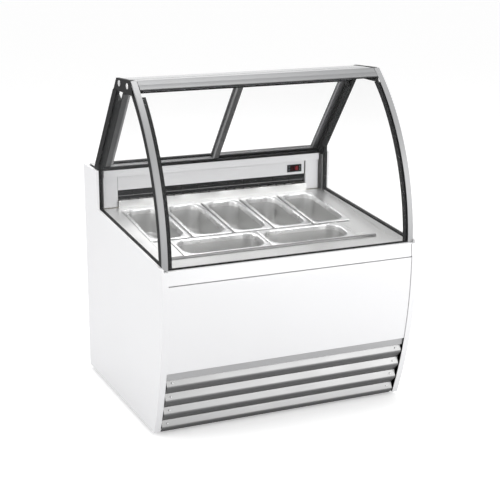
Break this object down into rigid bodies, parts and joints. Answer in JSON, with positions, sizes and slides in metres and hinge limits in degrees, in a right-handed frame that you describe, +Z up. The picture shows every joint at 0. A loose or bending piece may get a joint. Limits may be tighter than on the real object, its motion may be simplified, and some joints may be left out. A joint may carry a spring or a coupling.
{
  "type": "ice cream display freezer",
  "caption": "Free-standing ice cream display freezer with lift-up curved front glass, sliding rear glass doors, sloping pan deck and louvred steel front grille.",
  "frame": {"origin": "on the floor, in the middle of the cabinet's width and depth", "axes": "+X to the right seen from the front, -Y towards the customer, +Z up"},
  "size_m": [1.05, 0.92, 1.305],
  "materials": {
    "white_paint": "gloss powder coat",
    "stainless": "brushed",
    "pan_steel": "satin, drawn",
    "anodised": "satin anodised",
    "black_profile": "satin black",
    "black_rubber": "matt",
    "black_plastic": "fine texture",
    "grey_profile": "dark anodised",
    "glass": "clear, polished",
    "galvanised": "galvanised sheet",
    "foam": "rigid foam",
    "copper": "drawn tube",
    "compressor_paint": "gloss black",
    "light_cover": "frosted"
  },
  "bodies": {
    "cabinet": {"side_panel_left": "white_paint", "side_panel_right": "white_paint", "front_fascia": "white_paint", "front_panel": "white_paint", "grille_trim": "stainless", "grille_slats": "stainless", "grille_screws": "stainless", "chassis_base": "galvanised", "rear_service_panel": "galvanised", "rear_upper_panel": "white_paint", "rear_ledge": "stainless", "insulation_foam": "foam", "liner_tank": "stainless", "deck_frame": "stainless", "pan_bars": "stainless", "filler_plates": "stainless", "front_rail": "stainless", "console_housing": "white_paint", "controller": "black_plastic", "air_slot_grille": "black_plastic", "evaporator_coil": "anodised", "side_glass_left": "glass", "side_glass_right": "glass", "side_frame_left": "black_rubber", "side_frame_right": "black_rubber", "end_cap_left": "black_plastic", "end_cap_right": "black_plastic", "cap_fixings": "anodised", "top_rail": "anodised", "light_strip": "light_cover", "door_track": "grey_profile", "compressor": "compressor_paint", "condenser": "galvanised", "fan_motor": "black_plastic", "refrigerant_pipes": "copper", "electrical_box": "black_plastic"},
    "fan": {"fan_blade": "galvanised"},
    "front_glass_frame": {"front_glass": "glass", "glass_hinge_profile": "anodised", "glass_edge_strips": "anodised", "glass_seals": "black_rubber"},
    "rear_door_left": {"door_frame_left": "grey_profile", "door_glass_left": "glass"},
    "rear_door_right": {"door_frame_right": "grey_profile", "door_glass_right": "glass"},
    "key_1": {"button_1": "black_plastic"},
    "key_2": {"button_2": "black_plastic"},
    "key_3": {"button_3": "black_plastic"},
    "key_4": {"button_4": "black_plastic"},
    "ice_cream_pan_1": {"pan_1": "pan_steel"},
    "ice_cream_pan_2": {"pan_2": "pan_steel"},
    "ice_cream_pan_3": {"pan_3": "pan_steel"},
    "ice_cream_pan_4": {"pan_4": "pan_steel"},
    "ice_cream_pan_5": {"pan_5": "pan_steel"},
    "ice_cream_pan_6": {"pan_6": "pan_steel"},
    "ice_cream_pan_7": {"pan_7": "pan_steel"},
    "levelling_foot_1": {"foot_1": "black_plastic"},
    "levelling_foot_2": {"foot_2": "black_plastic"},
    "levelling_foot_3": {"foot_3": "black_plastic"},
    "levelling_foot_4": {"foot_4": "black_plastic"}
  },
  "joints": [
    {"name": "front_glass_lift", "type": "hinge", "parent": "cabinet", "child": "front_glass_frame", "pos_m": [0, -0.086, 1.2795], "axis": [-1, 0, 0], "range_deg": [0, 75]},
    {"name": "rear_door_left_slide", "type": "slide", "parent": "cabinet", "child": "rear_door_left", "axis": [1, 0, 0], "range_m": [0, 0.46]},
    {"name": "rear_door_right_slide", "type": "slide", "parent": "cabinet", "child": "rear_door_right", "axis": [-1, 0, 0], "range_m": [0, 0.46]},
    {"name": "fan_spin", "type": "hinge", "parent": "cabinet", "child": "fan", "pos_m": [-0.03, -0.196, 0.2], "axis": [0, 1, 0], "continuous": true},
    {"name": "pan_1_lift", "type": "slide", "parent": "cabinet", "child": "ice_cream_pan_1", "axis": [0, -0.1177, 0.993], "range_m": [0, 0.14]},
    {"name": "pan_2_lift", "type": "slide", "parent": "cabinet", "child": "ice_cream_pan_2", "axis": [0, -0.1177, 0.993], "range_m": [0, 0.14]},
    {"name": "pan_3_lift", "type": "slide", "parent": "cabinet", "child": "ice_cream_pan_3", "axis": [0, -0.1177, 0.993], "range_m": [0, 0.14]},
    {"name": "pan_4_lift", "type": "slide", "parent": "cabinet", "child": "ice_cream_pan_4", "axis": [0, -0.1177, 0.993], "range_m": [0, 0.14]},
    {"name": "pan_5_lift", "type": "slide", "parent": "cabinet", "child": "ice_cream_pan_5", "axis": [0, -0.1177, 0.993], "range_m": [0, 0.14]},
    {"name": "pan_6_lift", "type": "slide", "parent": "cabinet", "child": "ice_cream_pan_6", "axis": [0, -0.1177, 0.993], "range_m": [0, 0.14]},
    {"name": "pan_7_lift", "type": "slide", "parent": "cabinet", "child": "ice_cream_pan_7", "axis": [0, -0.1177, 0.993], "range_m": [0, 0.14]},
    {"name": "button_1_press", "type": "slide", "parent": "cabinet", "child": "key_1", "axis": [0, 1, 0], "range_m": [0, 0.0008], "stiffness_N_per_m": 300, "springref_m": -0.0004},
    {"name": "button_2_press", "type": "slide", "parent": "cabinet", "child": "key_2", "axis": [0, 1, 0], "range_m": [0, 0.0008], "stiffness_N_per_m": 300, "springref_m": -0.0004},
    {"name": "button_3_press", "type": "slide", "parent": "cabinet", "child": "key_3", "axis": [0, 1, 0], "range_m": [0, 0.0008], "stiffness_N_per_m": 300, "springref_m": -0.0004},
    {"name": "button_4_press", "type": "slide", "parent": "cabinet", "child": "key_4", "axis": [0, 1, 0], "range_m": [0, 0.0008], "stiffness_N_per_m": 300, "springref_m": -0.0004},
    {"name": "foot_1_turn", "type": "hinge", "parent": "cabinet", "child": "levelling_foot_1", "pos_m": [-0.455, -0.27, 0], "axis": [0, 0, 1], "continuous": true},
    {"name": "foot_2_turn", "type": "hinge", "parent": "cabinet", "child": "levelling_foot_2", "pos_m": [0.455, -0.27, 0], "axis": [0, 0, 1], "continuous": true},
    {"name": "foot_3_turn", "type": "hinge", "parent": "cabinet", "child": "levelling_foot_3", "pos_m": [-0.455, 0.39, 0], "axis": [0, 0, 1], "continuous": true},
    {"name": "foot_4_turn", "type": "hinge", "parent": "cabinet", "child": "levelling_foot_4", "pos_m": [0.455, 0.39, 0], "axis": [0, 0, 1], "continuous": true}
  ]
}
